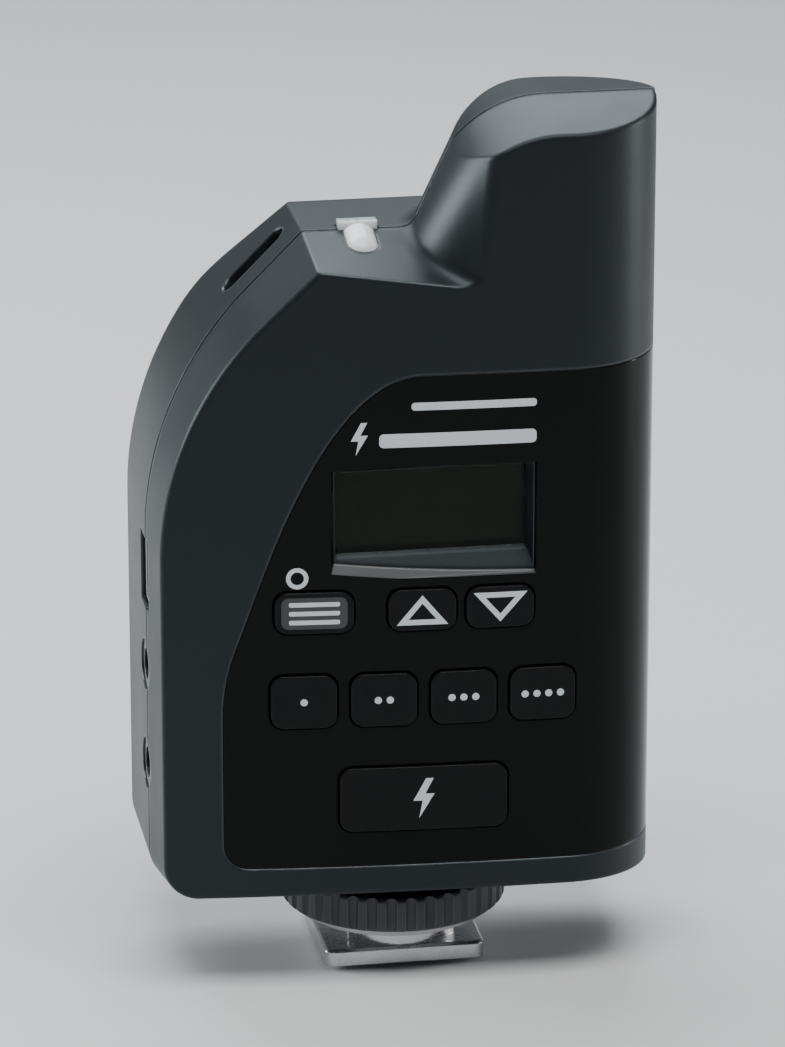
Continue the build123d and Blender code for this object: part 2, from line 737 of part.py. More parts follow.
# ---------------------------------------------------------------- power
def battery_tray():
    left, right, bottom, top = BAY
    wall = TRAY_WALL
    tray = block(left - wall, right + wall, TRAY_FLOOR_Y, DOOR_Y, bottom - wall, top + wall)
    tray -= block(left, right, TRAY_FLOOR_Y + 1.0, 20, bottom, top)
    tray -= block(BAY_X - 5.2, BAY_X + 5.2, 11.6, 20, top - 1, top + 2)
    for x in TRAY_SCREWS_X:
        ear = pad(x, top + 4.9, 5.0, 8.4, 1.0, TRAY_EAR_Y - 1.2, TRAY_EAR_Y)
        tray += ear & block(-60, 60, 0, 20, top + wall - 0.1, 90)
        tray -= rod(x, 0, TRAY_SCREWS_Z, (0, 1, 0), 1.0, 8)
    for x in (BAY_X - CELL_SPREAD, BAY_X + CELL_SPREAD):
        tray -= block(x - 1.4, x + 1.4, 0.6, 1.4, top - 1, top + 3)
    return tray & envelope(WALL + 0.1)


def cell(x, positive_up):
    """AA cell, with its raised contact at one end."""
    low = 20.1 if positive_up else 16.2
    body_low = low if positive_up else low + 1.0
    body = fillet(rod(x, CELL_Y, body_low, (0, 0, 1), CELL_R, CELL_L - 1.0).edges(), 0.5)
    nub_low = low + CELL_L - 1.0 if positive_up else low
    return body + rod(x, CELL_Y, nub_low, (0, 0, 1), 2.6, 1.0)


def battery_springs():
    left_x = BAY_X - CELL_SPREAD
    right_x = BAY_X + CELL_SPREAD
    return [
        coil(left_x, CELL_Y, 16.05, 3.0, 0.35, 1.5, 3.6),
        coil(right_x, CELL_Y, 67.15, 3.0, 0.35, 1.5, 3.6),
    ]


def battery_plates():
    """Spring bridge at the bottom and the two output contacts at the top."""
    left_x = BAY_X - CELL_SPREAD
    right_x = BAY_X + CELL_SPREAD
    top = BAY[3]
    plates = [block(left_x - 4.5, right_x + 4.5, 0.4, 8.4, 15.25, 15.65)]
    plates[0] += rod(right_x, CELL_Y, 15.6, (0, 0, 1), 2.0, 0.55)
    for x, thick in ((left_x, 0.9), (right_x, 0.4)):
        plate = block(x - 4.5, x + 4.5, 0.7, 8.4, top - 0.05 - thick, top - 0.05)
        plates.append(plate + block(x - 1.2, x + 1.2, 0.7, 1.3, top - 0.1, top + 3.4))
    return plates


def battery_leads():
    left_x = BAY_X - CELL_SPREAD
    right_x = BAY_X + CELL_SPREAD
    z = BAY[3] + 2.6
    back = (0, -1, 0)
    leads = []
    for x in (left_x, right_x):
        points = [(x, 0.68, z), (x - 0.3, -2.2, z + 0.9), (x - 0.8, BOARD_BACK + 0.02, z - 0.4)]
        leads.append(wire_run(points, back, back, 0.5))
    return leads


def battery_door():
    """Door with its hinge barrel, slider recess and slot."""
    left, right, _, _ = BAY
    plate = block(left - 0.7, right + 0.7, DOOR_Y, BACK_Y, 19.2, DOOR_TOP)
    plate += block(left + 3.0, right - 3.0, DOOR_Y, BACK_Y, HINGE_Z, 20)
    barrel = rod(left + 3.0, HINGE_Y, HINGE_Z, (1, 0, 0), HINGE_R, right - left - 6.0)
    plate += barrel
    low = LATCH_BASE_Z
    high = LATCH_BASE_Z + LATCH_L + LATCH_TRAVEL
    plate -= block(BAY_X - 7.5, BAY_X + 7.5, 14.1, 20, low - 1.8, high + 1.8)
    plate -= block(BAY_X - 2.0, BAY_X + 2.0, 10, 20, low + 0.5, high - 0.4)
    plate -= rod(left, HINGE_Y, HINGE_Z, (1, 0, 0), PIN_R + 0.05, right - left)
    for row in range(4):
        plate += pad(BAY_X, 28.0 + 3.0 * row, 16.0, 1.2, 0.55, BACK_Y - 0.2, BACK_Y + 0.5)
    return plate


def door_hinge_pin():
    return rod(BAY[0] + 0.1, HINGE_Y, HINGE_Z, (1, 0, 0), PIN_R, BAY[1] - BAY[0] - 0.2)


def door_latch():
    """Thumb slider on the door with a tongue behind the rim of the case when locked."""
    low = LATCH_BASE_Z
    thumb = block(BAY_X - 5, BAY_X + 5, 14.15, 15.5, low, low + LATCH_L)
    thumb = fillet(thumb.edges().filter_by(Axis.Y), 1.0)
    for row in range(3):
        thumb -= block(BAY_X - 4, BAY_X + 4, 15.1, 20, low + 1.0 + 1.2 * row, low + 1.6 + 1.2 * row)
    stem = block(BAY_X - 1.85, BAY_X + 1.85, 12.9, 14.2, low + 0.7, low + 4.3)
    tongue = block(BAY_X - 4.5, BAY_X + 4.5, 12.0, 13.0, low - 0.3, DOOR_TOP - 0.2)
    return thumb + stem + tongue


# ---------------------------------------------------------------- shoe foot
def foot_screw_places():
    return [(x, y) for x in (-4.4, 4.4) for y in (-4.4, 4.4)]


def keyed_stem(radius, flat, z0, z1):
    """Round stem with a flat on each side."""
    return rod(0, 0, z0, (0, 0, 1), radius, z1 - z0) & block(-flat, flat, -20, 20, z0, z1)


def shoe_foot():
    plate = block(-FOOT_W / 2, FOOT_W / 2, -FOOT_L / 2, FOOT_L / 2, 0, FOOT_T)
    plate = fillet(plate.edges().filter_by(Axis.Z), 1.2)
    plate = chamfer(plate.faces().sort_by(Axis.Z)[-1].edges(), 0.3)
    neck = keyed_stem(STEM_R, NECK_W / 2, FOOT_T, STEM_Z)
    stem = keyed_stem(STEM_R, STEM_FLAT, STEM_Z, BASE_Z)
    for turn in range(3):
        low = STEM_Z + 0.7 + THREAD_PITCH * turn
        root = rod(0, 0, low, (0, 0, 1), STEM_R - 0.4, 0.7)
        stem -= rod(0, 0, low, (0, 0, 1), 12, 0.7) - root
    foot = plate + neck + stem
    foot -= rod(0, 0, -1, (0, 0, 1), 2.6, 12)
    for x, y in foot_screw_places():
        foot -= rod(x, y, 3.0, (0, 0, 1), 0.75, 8)
    return foot


def clamp_washer():
    """Keyed washer that the ring presses on to the camera's shoe rails."""
    disc = rod(0, 0, WASHER_Z, (0, 0, 1), WASHER_R, 0.8)
    return disc - keyed_stem(STEM_R + 0.15, STEM_FLAT + 0.15, WASHER_Z - 1, WASHER_Z + 2)


def locking_ring():
    """Knurled nut around the stem."""
    ring = rod(0, 0, RING_Z, (0, 0, 1), RING_R, RING_H)
    ring = fillet(ring.edges(), 0.6)
    ring -= rod(0, 0, RING_Z - 1, (0, 0, 1), STEM_R + 0.15, RING_H + 2)
    grips = 36
    for step in range(grips):
        angle = 2 * math.pi * step / grips
        x = (RING_R + 0.3) * math.cos(angle)
        y = (RING_R + 0.3) * math.sin(angle)
        ring -= rod(x, y, RING_Z - 1, (0, 0, 1), 0.7, RING_H + 2)
    return ring


def contact_bush():
    """Insulating sleeve for the centre contact."""
    sleeve = rod(0, 0, 0.2, (0, 0, 1), 2.55, 11.7)
    sleeve -= rod(0, 0, -1, (0, 0, 1), 1.3, 5)
    return sleeve - rod(0, 0, 3.0, (0, 0, 1), 2.0, 12)


def contact_pin():
    pin = rod(0, 0, -0.6, (0, 0, 1), 1.2, 4.5)
    pin = fillet(pin.edges().sort_by(Axis.Z)[0], 0.5)
    return pin + rod(0, 0, 3.1, (0, 0, 1), 1.9, 0.8) + rod(0, 0, 3.8, (0, 0, 1), 0.9, 2.9)


def contact_spring():
    return coil(0, 0, 4.2, 1.45, 0.25, 1.1, 7.4)


def contact_terminal():
    cap = rod(0, 0, 11.92, (0, 0, 1), 2.4, 0.5)
    return cap + block(-0.9, 0.9, -4.0, -1.5, 11.92, 12.42)


def shoe_leads():
    """Signal and ground leads from the foot to the board."""
    up = (0, -0.3, 1)
    back = (0, -1, 0)
    signal = [(0, -3.4, 12.55), (0.4, -4.5, 14.0), (0.8, BOARD_BACK + 0.02, 15.6)]
    ground = [(6.6, -3.6, 11.93), (6.8, -4.5, 13.8), (7.0, BOARD_BACK + 0.02, 15.6)]
    return [wire_run(run, up, back, 0.4) for run in (signal, ground)]


# ---------------------------------------------------------------- fasteners and hardware
def screw(x, y, z, direction, head_r, head_h, shank_r, shank_l):
    """Pan head screw. The point is the head's underside, and the shank runs along direction."""
    back = Vector(*direction) * -1
    head = rod(x, y, z, back, head_r, head_h)
    seat = Vector(x, y, z) + back * (head_h - 0.5)
    cross = Plane(origin=seat, z_dir=back) * (
        Box(head_r * 1.1, 0.45, 1.2, align=(Align.CENTER, Align.CENTER, Align.MIN))
        + Box(0.45, head_r * 1.1, 1.2, align=(Align.CENTER, Align.CENTER, Align.MIN))
    )
    return (head - cross) + rod(x, y, z, direction, shank_r, shank_l)


def case_screws():
    return [screw(x, 6.02, z, (0, -1, 0), 2.0, 1.5, 0.93, 15.5) for x, z in CASE_SCREWS]


def board_screws():
    return [screw(x, BOARD_BACK, z, (0, -1, 0), 1.5, 1.0, 0.63, 5.0) for x, z in BOARD_SCREWS]


def tray_screws():
    seat = TRAY_EAR_Y - 1.22
    return [screw(x, seat, TRAY_SCREWS_Z, (0, 1, 0), 1.7, 1.1, 0.78, 5.0) for x in TRAY_SCREWS_X]


def foot_screws():
    seat = BASE_Z + WALL + 0.02
    return [screw(x, y, seat, (0, 0, -1), 1.6, 1.1, 0.73, 7.5) for x, y in foot_screw_places()]


def lanyard_pin():
    return lanyard_plane() * Pos(0, 0, -2.0) * Rot(90, 0, 0) * Cylinder(0.79, SLOT_W + 2.3)


def tripod_insert():
    """Brass quarter-inch insert in the right wall."""
    start = HALF_WIDTH - INSERT_L
    body = rod(start, INSERT_Y, INSERT_Z, (1, 0, 0), 3.98, INSERT_L - 0.1)
    return body - rod(start - 1, INSERT_Y, INSERT_Z, (1, 0, 0), INSERT_BORE_R, INSERT_L + 2)


def group(solids):
    """Several separate solids kept under one name."""
    return Compound(children=[s if isinstance(s, Solid) else s.solid() for s in solids])


def build():
    parts = {
        "front_shell": front_shell(),
        "rear_shell": rear_shell(),
        "face_panel": face_panel(),
        "display_window": display_window(),
        "lcd_panel": lcd_panel(),
        "lcd_holder": lcd_holder(),
        "light_guide": light_guide(),
        "zebra_strips": group(zebra_strips()),
        "keypad_mat": keypad_mat(),
        "dome_switches": group(dome_switches()),
        "main_board": main_board(),
        "board_chips": group(board_chips()),
        "rf_shield": rf_shield(),
        "aerial_coil": aerial_coil(),
        "aerial_former": aerial_former(),
        "status_light_pipe": status_light_pipe(),
        "status_led": status_led(),
        "sync_socket_lower": sync_socket(JACKS_Z[0]),
        "sync_socket_upper": sync_socket(JACKS_Z[1]),
        "usb_socket": usb_socket(),
        "battery_tray": battery_tray(),
        "battery_cell_left": cell(BAY_X - CELL_SPREAD, True),
        "battery_cell_right": cell(BAY_X + CELL_SPREAD, False),
        "battery_springs": group(battery_springs()),
        "battery_plates": group(battery_plates()),
        "battery_leads": group(battery_leads()),
        "battery_door": battery_door(),
        "door_hinge_pin": door_hinge_pin(),
        "door_latch": door_latch(),
        "shoe_foot": shoe_foot(),
        "clamp_washer": clamp_washer(),
        "locking_ring": locking_ring(),
        "contact_bush": contact_bush(),
        "contact_pin": contact_pin(),
        "contact_spring": contact_spring(),
        "contact_terminal": contact_terminal(),
        "shoe_leads": group(shoe_leads()),
        "case_screws": group(case_screws()),
        "board_screws": group(board_screws()),
        "tray_screws": group(tray_screws()),
        "foot_screws": group(foot_screws()),
        "lanyard_pin": lanyard_pin(),
        "tripod_insert": tripod_insert(),
    }
    for name, x, z, width, height in KEYS:
        parts[name] = key(x, z, width, height)
    return parts


def main():
    os.makedirs("parts", exist_ok=True)
    for name, shape in build().items():
        export_step(shape, f"parts/{name}.step")


main()
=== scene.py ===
import math

import bmesh
import bpy
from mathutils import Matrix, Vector
from mathutils.bvhtree import BVHTree
from mathutils.geometry import tessellate_polygon as tessellate


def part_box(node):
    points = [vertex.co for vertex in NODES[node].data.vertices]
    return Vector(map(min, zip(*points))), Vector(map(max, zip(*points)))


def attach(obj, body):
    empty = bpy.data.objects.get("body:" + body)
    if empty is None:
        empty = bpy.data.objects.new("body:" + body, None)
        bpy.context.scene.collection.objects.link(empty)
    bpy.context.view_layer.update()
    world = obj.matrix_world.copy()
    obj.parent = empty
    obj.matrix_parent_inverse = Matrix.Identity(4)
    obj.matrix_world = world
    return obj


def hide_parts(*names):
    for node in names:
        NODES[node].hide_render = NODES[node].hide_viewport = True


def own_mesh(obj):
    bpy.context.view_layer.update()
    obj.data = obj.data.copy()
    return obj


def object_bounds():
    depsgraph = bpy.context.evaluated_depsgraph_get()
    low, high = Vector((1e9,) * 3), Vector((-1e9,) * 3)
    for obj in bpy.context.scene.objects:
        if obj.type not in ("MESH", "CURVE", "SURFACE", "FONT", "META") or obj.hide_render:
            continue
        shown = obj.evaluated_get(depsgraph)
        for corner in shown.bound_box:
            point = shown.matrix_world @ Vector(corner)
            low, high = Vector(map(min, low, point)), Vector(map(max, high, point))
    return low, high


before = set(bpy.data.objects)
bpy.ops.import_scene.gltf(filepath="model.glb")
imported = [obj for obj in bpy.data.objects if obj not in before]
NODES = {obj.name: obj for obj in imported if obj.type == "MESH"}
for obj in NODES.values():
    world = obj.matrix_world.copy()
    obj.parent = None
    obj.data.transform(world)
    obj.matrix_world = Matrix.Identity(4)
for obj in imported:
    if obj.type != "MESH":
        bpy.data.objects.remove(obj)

# Looks for a pocket radio trigger. Everything here is in metres in the CAD frame: X to the
# right seen from the display, Y from the display to the battery door, Z up.

CAD_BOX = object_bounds()
MM = 0.001

PRINT_LIFT = 0.03 * MM  # how far printed marks stand off the surface
PRINT_SINK = 0.03 * MM  # and how far their edges reach into it
CAMERA_AZIMUTH = -9.5  # degrees, below 0 looks from the left
CAMERA_ELEVATION = 19.0  # degrees above the horizon
CAMERA_LENS = 200.0  # focal length in millimetres
SENSOR_HEIGHT = 36.0  # of the camera, in millimetres
FILL = 1.12  # picture height over the object's height
BEVEL_SAMPLES = 6  # rays that find the rounded normal near an edge
SEAM_SAMPLES = 4  # rays that find whether a point lies in a seam


# ------------------------------------------------------------------ material building
class Graph:
    """A node material, written as a few short calls."""

    def __init__(self, name):
        self.material = bpy.data.materials.new(name)
        self.material.use_nodes = True
        self.tree = self.material.node_tree
        self.tree.nodes.clear()
        self.place = self.add("ShaderNodeTexCoord").outputs["Object"]

    def add(self, kind, **settings):
        """New node of a kind, with its settings."""
        node = self.tree.nodes.new(kind)
        for key, value in settings.items():
            setattr(node, key, value)
        return node

    def feed(self, socket, value):
        """Link an output to an input, or set the input's plain value."""
        if isinstance(value, bpy.types.NodeSocket):
            self.tree.links.new(value, socket)
        elif hasattr(socket.default_value, "__len__") and not hasattr(value, "__len__"):
            socket.default_value = [value] * len(socket.default_value)
        elif hasattr(value, "__len__") and len(value) == 3 and len(socket.default_value) == 4:
            socket.default_value = (*value, 1.0)
        else:
            socket.default_value = value

    def noise(self, size, detail=2.0, roughness=0.5, stretch=(1, 1, 1)):
        """Soft noise whose features are about size metres across."""
        spread = self.add("ShaderNodeVectorMath", operation="MULTIPLY")
        self.feed(spread.inputs[0], self.place)
        spread.inputs[1].default_value = stretch
        node = self.add("ShaderNodeTexNoise")
        self.feed(node.inputs["Vector"], spread.outputs[0])
        node.inputs["Scale"].default_value = 1.0 / size
        node.inputs["Detail"].default_value = detail
        node.inputs["Roughness"].default_value = roughness
        return node.outputs["Fac"]

    def cells(self, size):
        """Distance to the nearest of scattered points about size metres apart."""
        node = self.add("ShaderNodeTexVoronoi")
        self.feed(node.inputs["Vector"], self.place)
        node.inputs["Scale"].default_value = 1.0 / size
        return node.outputs["Distance"]

    def maths(self, operation, first, second=0.0):
        """Result of a Math node on one or two inputs."""
        node = self.add("ShaderNodeMath", operation=operation)
        self.feed(node.inputs[0], first)
        self.feed(node.inputs[1], second)
        return node.outputs[0]

    def remap(self, value, low, high, to_low, to_high):
        """Straight-line map of low..high to to_low..to_high, held at both ends."""
        node = self.add("ShaderNodeMapRange", clamp=True)
        for socket, number in zip(node.inputs[:5], (value, low, high, to_low, to_high)):
            self.feed(socket, number)
        return node.outputs[0]

    def blend(self, amount, first, second):
        """Colour that goes from first to second as amount goes from 0 to 1."""
        colour_a, colour_b, colour_out = 6, 7, 2  # sockets, which share their names with others
        node = self.add("ShaderNodeMix", data_type="RGBA")
        self.feed(node.inputs["Factor"], amount)
        self.feed(node.inputs[colour_a], first)
        self.feed(node.inputs[colour_b], second)
        return node.outputs[colour_out]

    def part_of(self, vector, axis):
        """X, Y or Z of a vector."""
        split = self.add("ShaderNodeSeparateXYZ")
        self.feed(split.inputs[0], vector)
        return split.outputs[axis]

    def coordinate(self, axis):
        """X, Y or Z of the shaded point, in metres, as it is before any pose."""
        return self.part_of(self.place, axis)

    def normal(self):
        """Direction that the shaded point faces."""
        return self.add("ShaderNodeNewGeometry").outputs["Normal"]

    def edges(self, radius):
        """1 on convex and concave edges, 0 on open surface."""
        sharp, flat = 0.75, 0.995  # how well the rounded normal agrees with the true one
        bevel = self.add("ShaderNodeBevel", samples=BEVEL_SAMPLES)
        bevel.inputs["Radius"].default_value = radius
        dot = self.add("ShaderNodeVectorMath", operation="DOT_PRODUCT")
        self.feed(dot.inputs[0], bevel.outputs[0])
        self.feed(dot.inputs[1], self.normal())
        return self.remap(dot.outputs["Value"], sharp, flat, 1.0, 0.0)

    def openness(self, reach):
        """0 deep in seams and holes, 1 where nothing stands within reach of the surface."""
        shut, clear = 0.35, 0.75  # share of the rays that get away
        node = self.add("ShaderNodeAmbientOcclusion", samples=SEAM_SAMPLES)
        node.inputs["Distance"].default_value = reach
        return self.remap(node.outputs["AO"], shut, clear, 0.0, 1.0)

    def bump(self, height, depth, strength=1.0, round_edges=0.0):
        """Normal with relief of the given depth, over optionally rounded edges."""
        node = self.add("ShaderNodeBump")
        node.inputs["Strength"].default_value = strength
        node.inputs["Distance"].default_value = depth
        self.feed(node.inputs["Height"], height)
        if round_edges:
            bevel = self.add("ShaderNodeBevel", samples=BEVEL_SAMPLES)
            bevel.inputs["Radius"].default_value = round_edges
            self.feed(node.inputs["Normal"], bevel.outputs[0])
        return node.outputs[0]

    def surface(self, **values):
        """Finish with a Principled shader. Names use _ for spaces."""
        shader = self.add("ShaderNodeBsdfPrincipled")
        for key, value in values.items():
            self.feed(shader.inputs[key.replace("_", " ")], value)
        return self.output(shader.outputs[0])

    def output(self, shader):
        """Finish with any shader and give the material."""
        end = self.add("ShaderNodeOutputMaterial")
        self.feed(end.inputs["Surface"], shader)
        return self.material


def case_plastic():
    """Charcoal ABS with a spark-eroded texture, worn smoother on its edges and paler there, partly
    as wear and partly as a painted highlight; its seams carry painted shade.
    """
    charcoal, faded = (0.0085, 0.0103, 0.0120), (0.0120, 0.0143, 0.0163)
    # Edge colour: partly rubbed wear, partly a painted highlight.
    dusty, rubbed = (0.16, 0.16, 0.155), (0.13, 0.14, 0.15)
    edge_width, rounding, seam_reach = 0.5 * MM, 0.6 * MM, 0.6 * MM
    g = Graph("case_plastic")
    grain = g.noise(0.22 * MM, 3.0, 0.6)
    pits = g.cells(0.35 * MM)
    relief = g.maths("ADD", g.maths("MULTIPLY", grain, 0.7), g.maths("MULTIPLY", pits, 0.3))
    cloud = g.noise(14 * MM, 4.0, 0.6)
    patchy = g.remap(g.noise(3 * MM, 3.0), 0.3, 0.7, 0.6, 1.0)
    # Painted shade in the seams: deep in them this mask takes away the pale edge colour and the
    # reflection.
    clear = g.openness(seam_reach)
    # Edge mask for the pale colour, the smoother finish and the stronger reflection; the pale
    # colour is partly a painted highlight.
    rub_and_highlight = g.maths("MULTIPLY", g.maths("MULTIPLY", g.edges(edge_width), patchy), clear)
    dust = g.remap(g.noise(0.7 * MM, 6.0, 0.75), 0.66, 0.76, 0.0, 0.07)
    speckled = g.blend(dust, g.blend(cloud, charcoal, faded), dusty)
    satin = g.remap(cloud, 0.2, 0.8, 0.36, 0.46)
    shine = g.remap(rub_and_highlight, 0.0, 1.0, 0.30, 1.0)
    return g.surface(
        Base_Color=g.blend(g.maths("MULTIPLY", rub_and_highlight, 0.5), speckled, rubbed),
        Roughness=g.maths("SUBTRACT", satin, g.maths("MULTIPLY", rub_and_highlight, 0.20)),
        # Reflection taken away deep in the seams: painted shade.
        Specular_IOR_Level=g.maths("MULTIPLY", shine, clear),
        Specular_Tint=(0.82, 0.95, 1.0),
        Normal=g.bump(relief, 0.02 * MM, 0.5, rounding),
    )


def panel_gloss():
    """Piano black moulding with hairlines, smudges and dust. Its sloped faces that turn up are
    satin, and paler there as painted light from above.
    """
    black, bezel_painted_light, dusty = (0.0024, 0.0029, 0.0025), (0.040, 0.048, 0.048), (0.07, 0.07, 0.068)
    g = Graph("panel_gloss")
    flow = g.noise(9 * MM, 2.0)
    hair = g.remap(g.noise(0.12 * MM, 2.0, 0.5, (0.03, 1, 1)), 0.62, 0.72, 0.0, 1.0)
    dust = g.remap(g.noise(0.35 * MM, 3.0, 0.7), 0.72, 0.78, 0.0, 0.35)
    smudge = g.remap(g.noise(7 * MM, 5.0, 0.65), 0.45, 0.75, 0.0, 1.0)
    # Faces that turn up get a satin finish and a paler colour; the paler colour is painted light
    # from above.
    satin = g.remap(g.part_of(g.normal(), "Z"), 0.25, 0.5, 0.0, 1.0)
    polish = g.maths("ADD", g.remap(smudge, 0.0, 1.0, 0.10, 0.19), g.maths("MULTIPLY", hair, 0.05))
    return g.surface(
        Base_Color=g.blend(dust, g.blend(satin, black, bezel_painted_light), dusty),
        Roughness=g.maths("ADD", polish, g.maths("MULTIPLY", satin, 0.25)),
        Specular_IOR_Level=g.remap(satin, 0.0, 1.0, 0.11, 0.6),
        Normal=g.bump(flow, 0.02 * MM, 0.3, 0.25 * MM),
    )


def key_gloss():
    """Key caps: the panel's black, a touch softer, polished where fingers press."""
    black, rubbed = (0.0045, 0.0047, 0.005), (0.03, 0.031, 0.033)
    g = Graph("key_gloss")
    grain = g.noise(0.18 * MM, 2.0)
    worn = g.remap(g.noise(2.5 * MM, 3.0), 0.35, 0.7, 0.0, 1.0)
    return g.surface(
        Base_Color=g.blend(g.maths("MULTIPLY", g.edges(0.3 * MM), 0.5), black, rubbed),
        Roughness=g.remap(worn, 0.0, 1.0, 0.30, 0.20),
        Specular_IOR_Level=0.14,
        Normal=g.bump(grain, 0.006 * MM, 0.4, 0.3 * MM),
    )


def window_clear():
    """Slightly smoked lens: see-through, with a weak fresnel reflection and fine wipe marks."""
    smoke = (0.60, 0.68, 0.58, 1)
    coating = 0.3  # share of the plain reflection that an anti-glare coating leaves
    g = Graph("window_clear")
    wipe = g.noise(0.4 * MM, 3.0, 0.6, (1, 1, 0.15))
    clear = g.add("ShaderNodeBsdfTransparent")
    clear.inputs[0].default_value = smoke
    shine = g.add("ShaderNodeBsdfGlossy")
    g.feed(shine.inputs["Roughness"], g.remap(wipe, 0.3, 0.8, 0.03, 0.10))
    fresnel = g.add("ShaderNodeFresnel")
    fresnel.inputs["IOR"].default_value = 1.49
    mix = g.add("ShaderNodeMixShader")
    g.feed(mix.inputs[0], g.maths("MULTIPLY", fresnel.outputs[0], coating))
    g.feed(mix.inputs[1], clear.outputs[0])
    g.feed(mix.inputs[2], shine.outputs[0])
    return g.output(mix.outputs[0])


def lcd_glass():
    """Display that is switched off: dark olive with a faint element grid, paler towards the top as
    a painted reflection.
    """
    foot, top_painted_reflection, line_colour = (0.012, 0.019, 0.006), (0.022, 0.034, 0.014), (0.045, 0.055, 0.036)
    pitch, line_width = 0.42 * MM, 0.05 * MM
    g = Graph("lcd_glass")
    low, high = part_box("lcd_panel")
    # Painted reflection: the olive turns paler towards the top.
    rise = g.remap(g.coordinate("Z"), low.z, high.z, 0.0, 1.0)
    across = g.maths("PINGPONG", g.coordinate("X"), pitch / 2)
    up = g.maths("PINGPONG", g.coordinate("Z"), pitch / 2)
    grid = g.remap(g.maths("MINIMUM", across, up), 0.0, line_width, 1.0, 0.0)
    return g.surface(
        Base_Color=g.blend(g.maths("MULTIPLY", grid, 0.22), g.blend(rise, foot, top_painted_reflection), line_colour),
        Roughness=g.remap(g.noise(0.3 * MM), 0.3, 0.7, 0.28, 0.38),
        Specular_IOR_Level=0.08,
    )


def light_white():
    """Milky light pipe: pale on its lens, darker grey on the bar behind the seam."""
    hazy, bright, dull = (0.70, 0.74, 0.76), (0.84, 0.87, 0.88), (0.36, 0.42, 0.44)
    bar_from, bar_to = 1.9 * MM, 1.3 * MM  # the bar's front, measured from the pipe's back
    g = Graph("light_white")
    haze = g.noise(1.2 * MM, 3.0)
    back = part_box("status_light_pipe")[1].y
    behind = g.remap(g.coordinate("Y"), back - bar_from, back - bar_to, 0.0, 1.0)
    return g.surface(
        Base_Color=g.blend(behind, g.blend(haze, hazy, bright), dull),
        Roughness=g.remap(haze, 0.3, 0.7, 0.22, 0.34),
        Subsurface_Weight=0.6,
        Subsurface_Radius=(1.2 * MM, 1.2 * MM, 1.3 * MM),
        Subsurface_Scale=1.0,
        Normal=g.bump(g.noise(0.3 * MM), 0.004 * MM, 0.3, 0.3 * MM),
    )


def print_white():
    """Screen print: slightly uneven white ink, worn thin in spots."""
    fresh, thin = (0.70, 0.76, 0.78), (0.32, 0.35, 0.36)
    g = Graph("print_white")
    patch = g.noise(0.5 * MM, 4.0, 0.7)
    worn = g.remap(patch, 0.62, 0.8, 0.0, 0.5)
    return g.surface(
        Base_Color=g.blend(worn, fresh, thin),
        Roughness=g.remap(patch, 0.3, 0.7, 0.38, 0.52),
        Normal=g.bump(g.noise(0.12 * MM), 0.006 * MM, 0.4),
    )


def print_grey():
    """Dark grey ink of the tab under the menu sign."""
    g = Graph("print_grey")
    patch = g.noise(0.5 * MM, 4.0, 0.7)
    return g.surface(
        Base_Color=g.blend(patch, (0.035, 0.037, 0.04), (0.055, 0.057, 0.06)),
        Roughness=g.remap(patch, 0.3, 0.7, 0.34, 0.46),
    )


def metal(name, colour, rough, stretch=(1, 1, 1), edge_light=0.25):
    """Metal with brushing or grain along one direction, brighter where its edges are rubbed."""
    g = Graph(name)
    brush = g.noise(0.10 * MM, 3.0, 0.6, stretch)
    stain = g.noise(2.5 * MM, 4.0, 0.6)
    darker = tuple(0.72 * c for c in colour)
    brighter = tuple(min(1.0, c + 0.25) for c in colour)
    tone = g.blend(stain, colour, darker)
    tone = g.blend(g.maths("MULTIPLY", g.edges(0.2 * MM), edge_light), tone, brighter)
    return g.surface(
        Base_Color=tone,
        Metallic=1.0,
        Roughness=g.remap(brush, 0.25, 0.75, rough - 0.07, rough + 0.09),
        Normal=g.bump(brush, 0.004 * MM, 0.35, 0.15 * MM),
    )


def plastic(name, colour, rough, grain=0.2, edge_light=0.3, translucent=0.0):
    """Moulded plastic with grain in millimetres, slightly varied in tone and paler on edges."""
    g = Graph(name)
    fine = g.noise(grain * MM, 3.0, 0.6)
    cloud = g.noise(5 * MM, 3.0)
    darker = tuple(0.8 * c for c in colour)
    paler = tuple(c + 0.25 * (1 - c) * edge_light for c in colour)
    tone = g.blend(cloud, colour, darker)
    tone = g.blend(g.edges(0.25 * MM), tone, paler)
    return g.surface(
        Base_Color=tone,
        Roughness=g.remap(cloud, 0.3, 0.7, rough - 0.06, rough + 0.06),
        Subsurface_Weight=translucent,
        Subsurface_Radius=(0.6 * MM, 0.6 * MM, 0.6 * MM),
        Subsurface_Scale=1.0,
        Normal=g.bump(fine, 0.010 * MM, 0.4, 0.2 * MM),
    )


def board_green():
    """Solder resist over copper: straight tracks show as slightly raised, lighter lines."""
    resist, over_copper = (0.008, 0.055, 0.025), (0.018, 0.11, 0.05)
    track_pitch = 0.6 * MM
    g = Graph("board_green")
    upright = g.maths("GREATER_THAN", g.noise(4 * MM, 0.0), 0.5)
    level = g.maths("SUBTRACT", 1.0, upright)
    lines_x = g.maths("PINGPONG", g.coordinate("X"), track_pitch)
    lines_z = g.maths("PINGPONG", g.coordinate("Z"), track_pitch)
    part_x = g.maths("MULTIPLY", lines_x, upright)
    part_z = g.maths("MULTIPLY", lines_z, level)
    line = g.maths("ADD", part_x, part_z)
    track = g.remap(line, 0.18 * MM, 0.24 * MM, 1.0, 0.0)
    return g.surface(
        Base_Color=g.blend(track, resist, over_copper),
        Roughness=g.remap(g.noise(0.6 * MM), 0.3, 0.7, 0.25, 0.36),
        Normal=g.bump(track, 0.02 * MM, 0.6),
    )


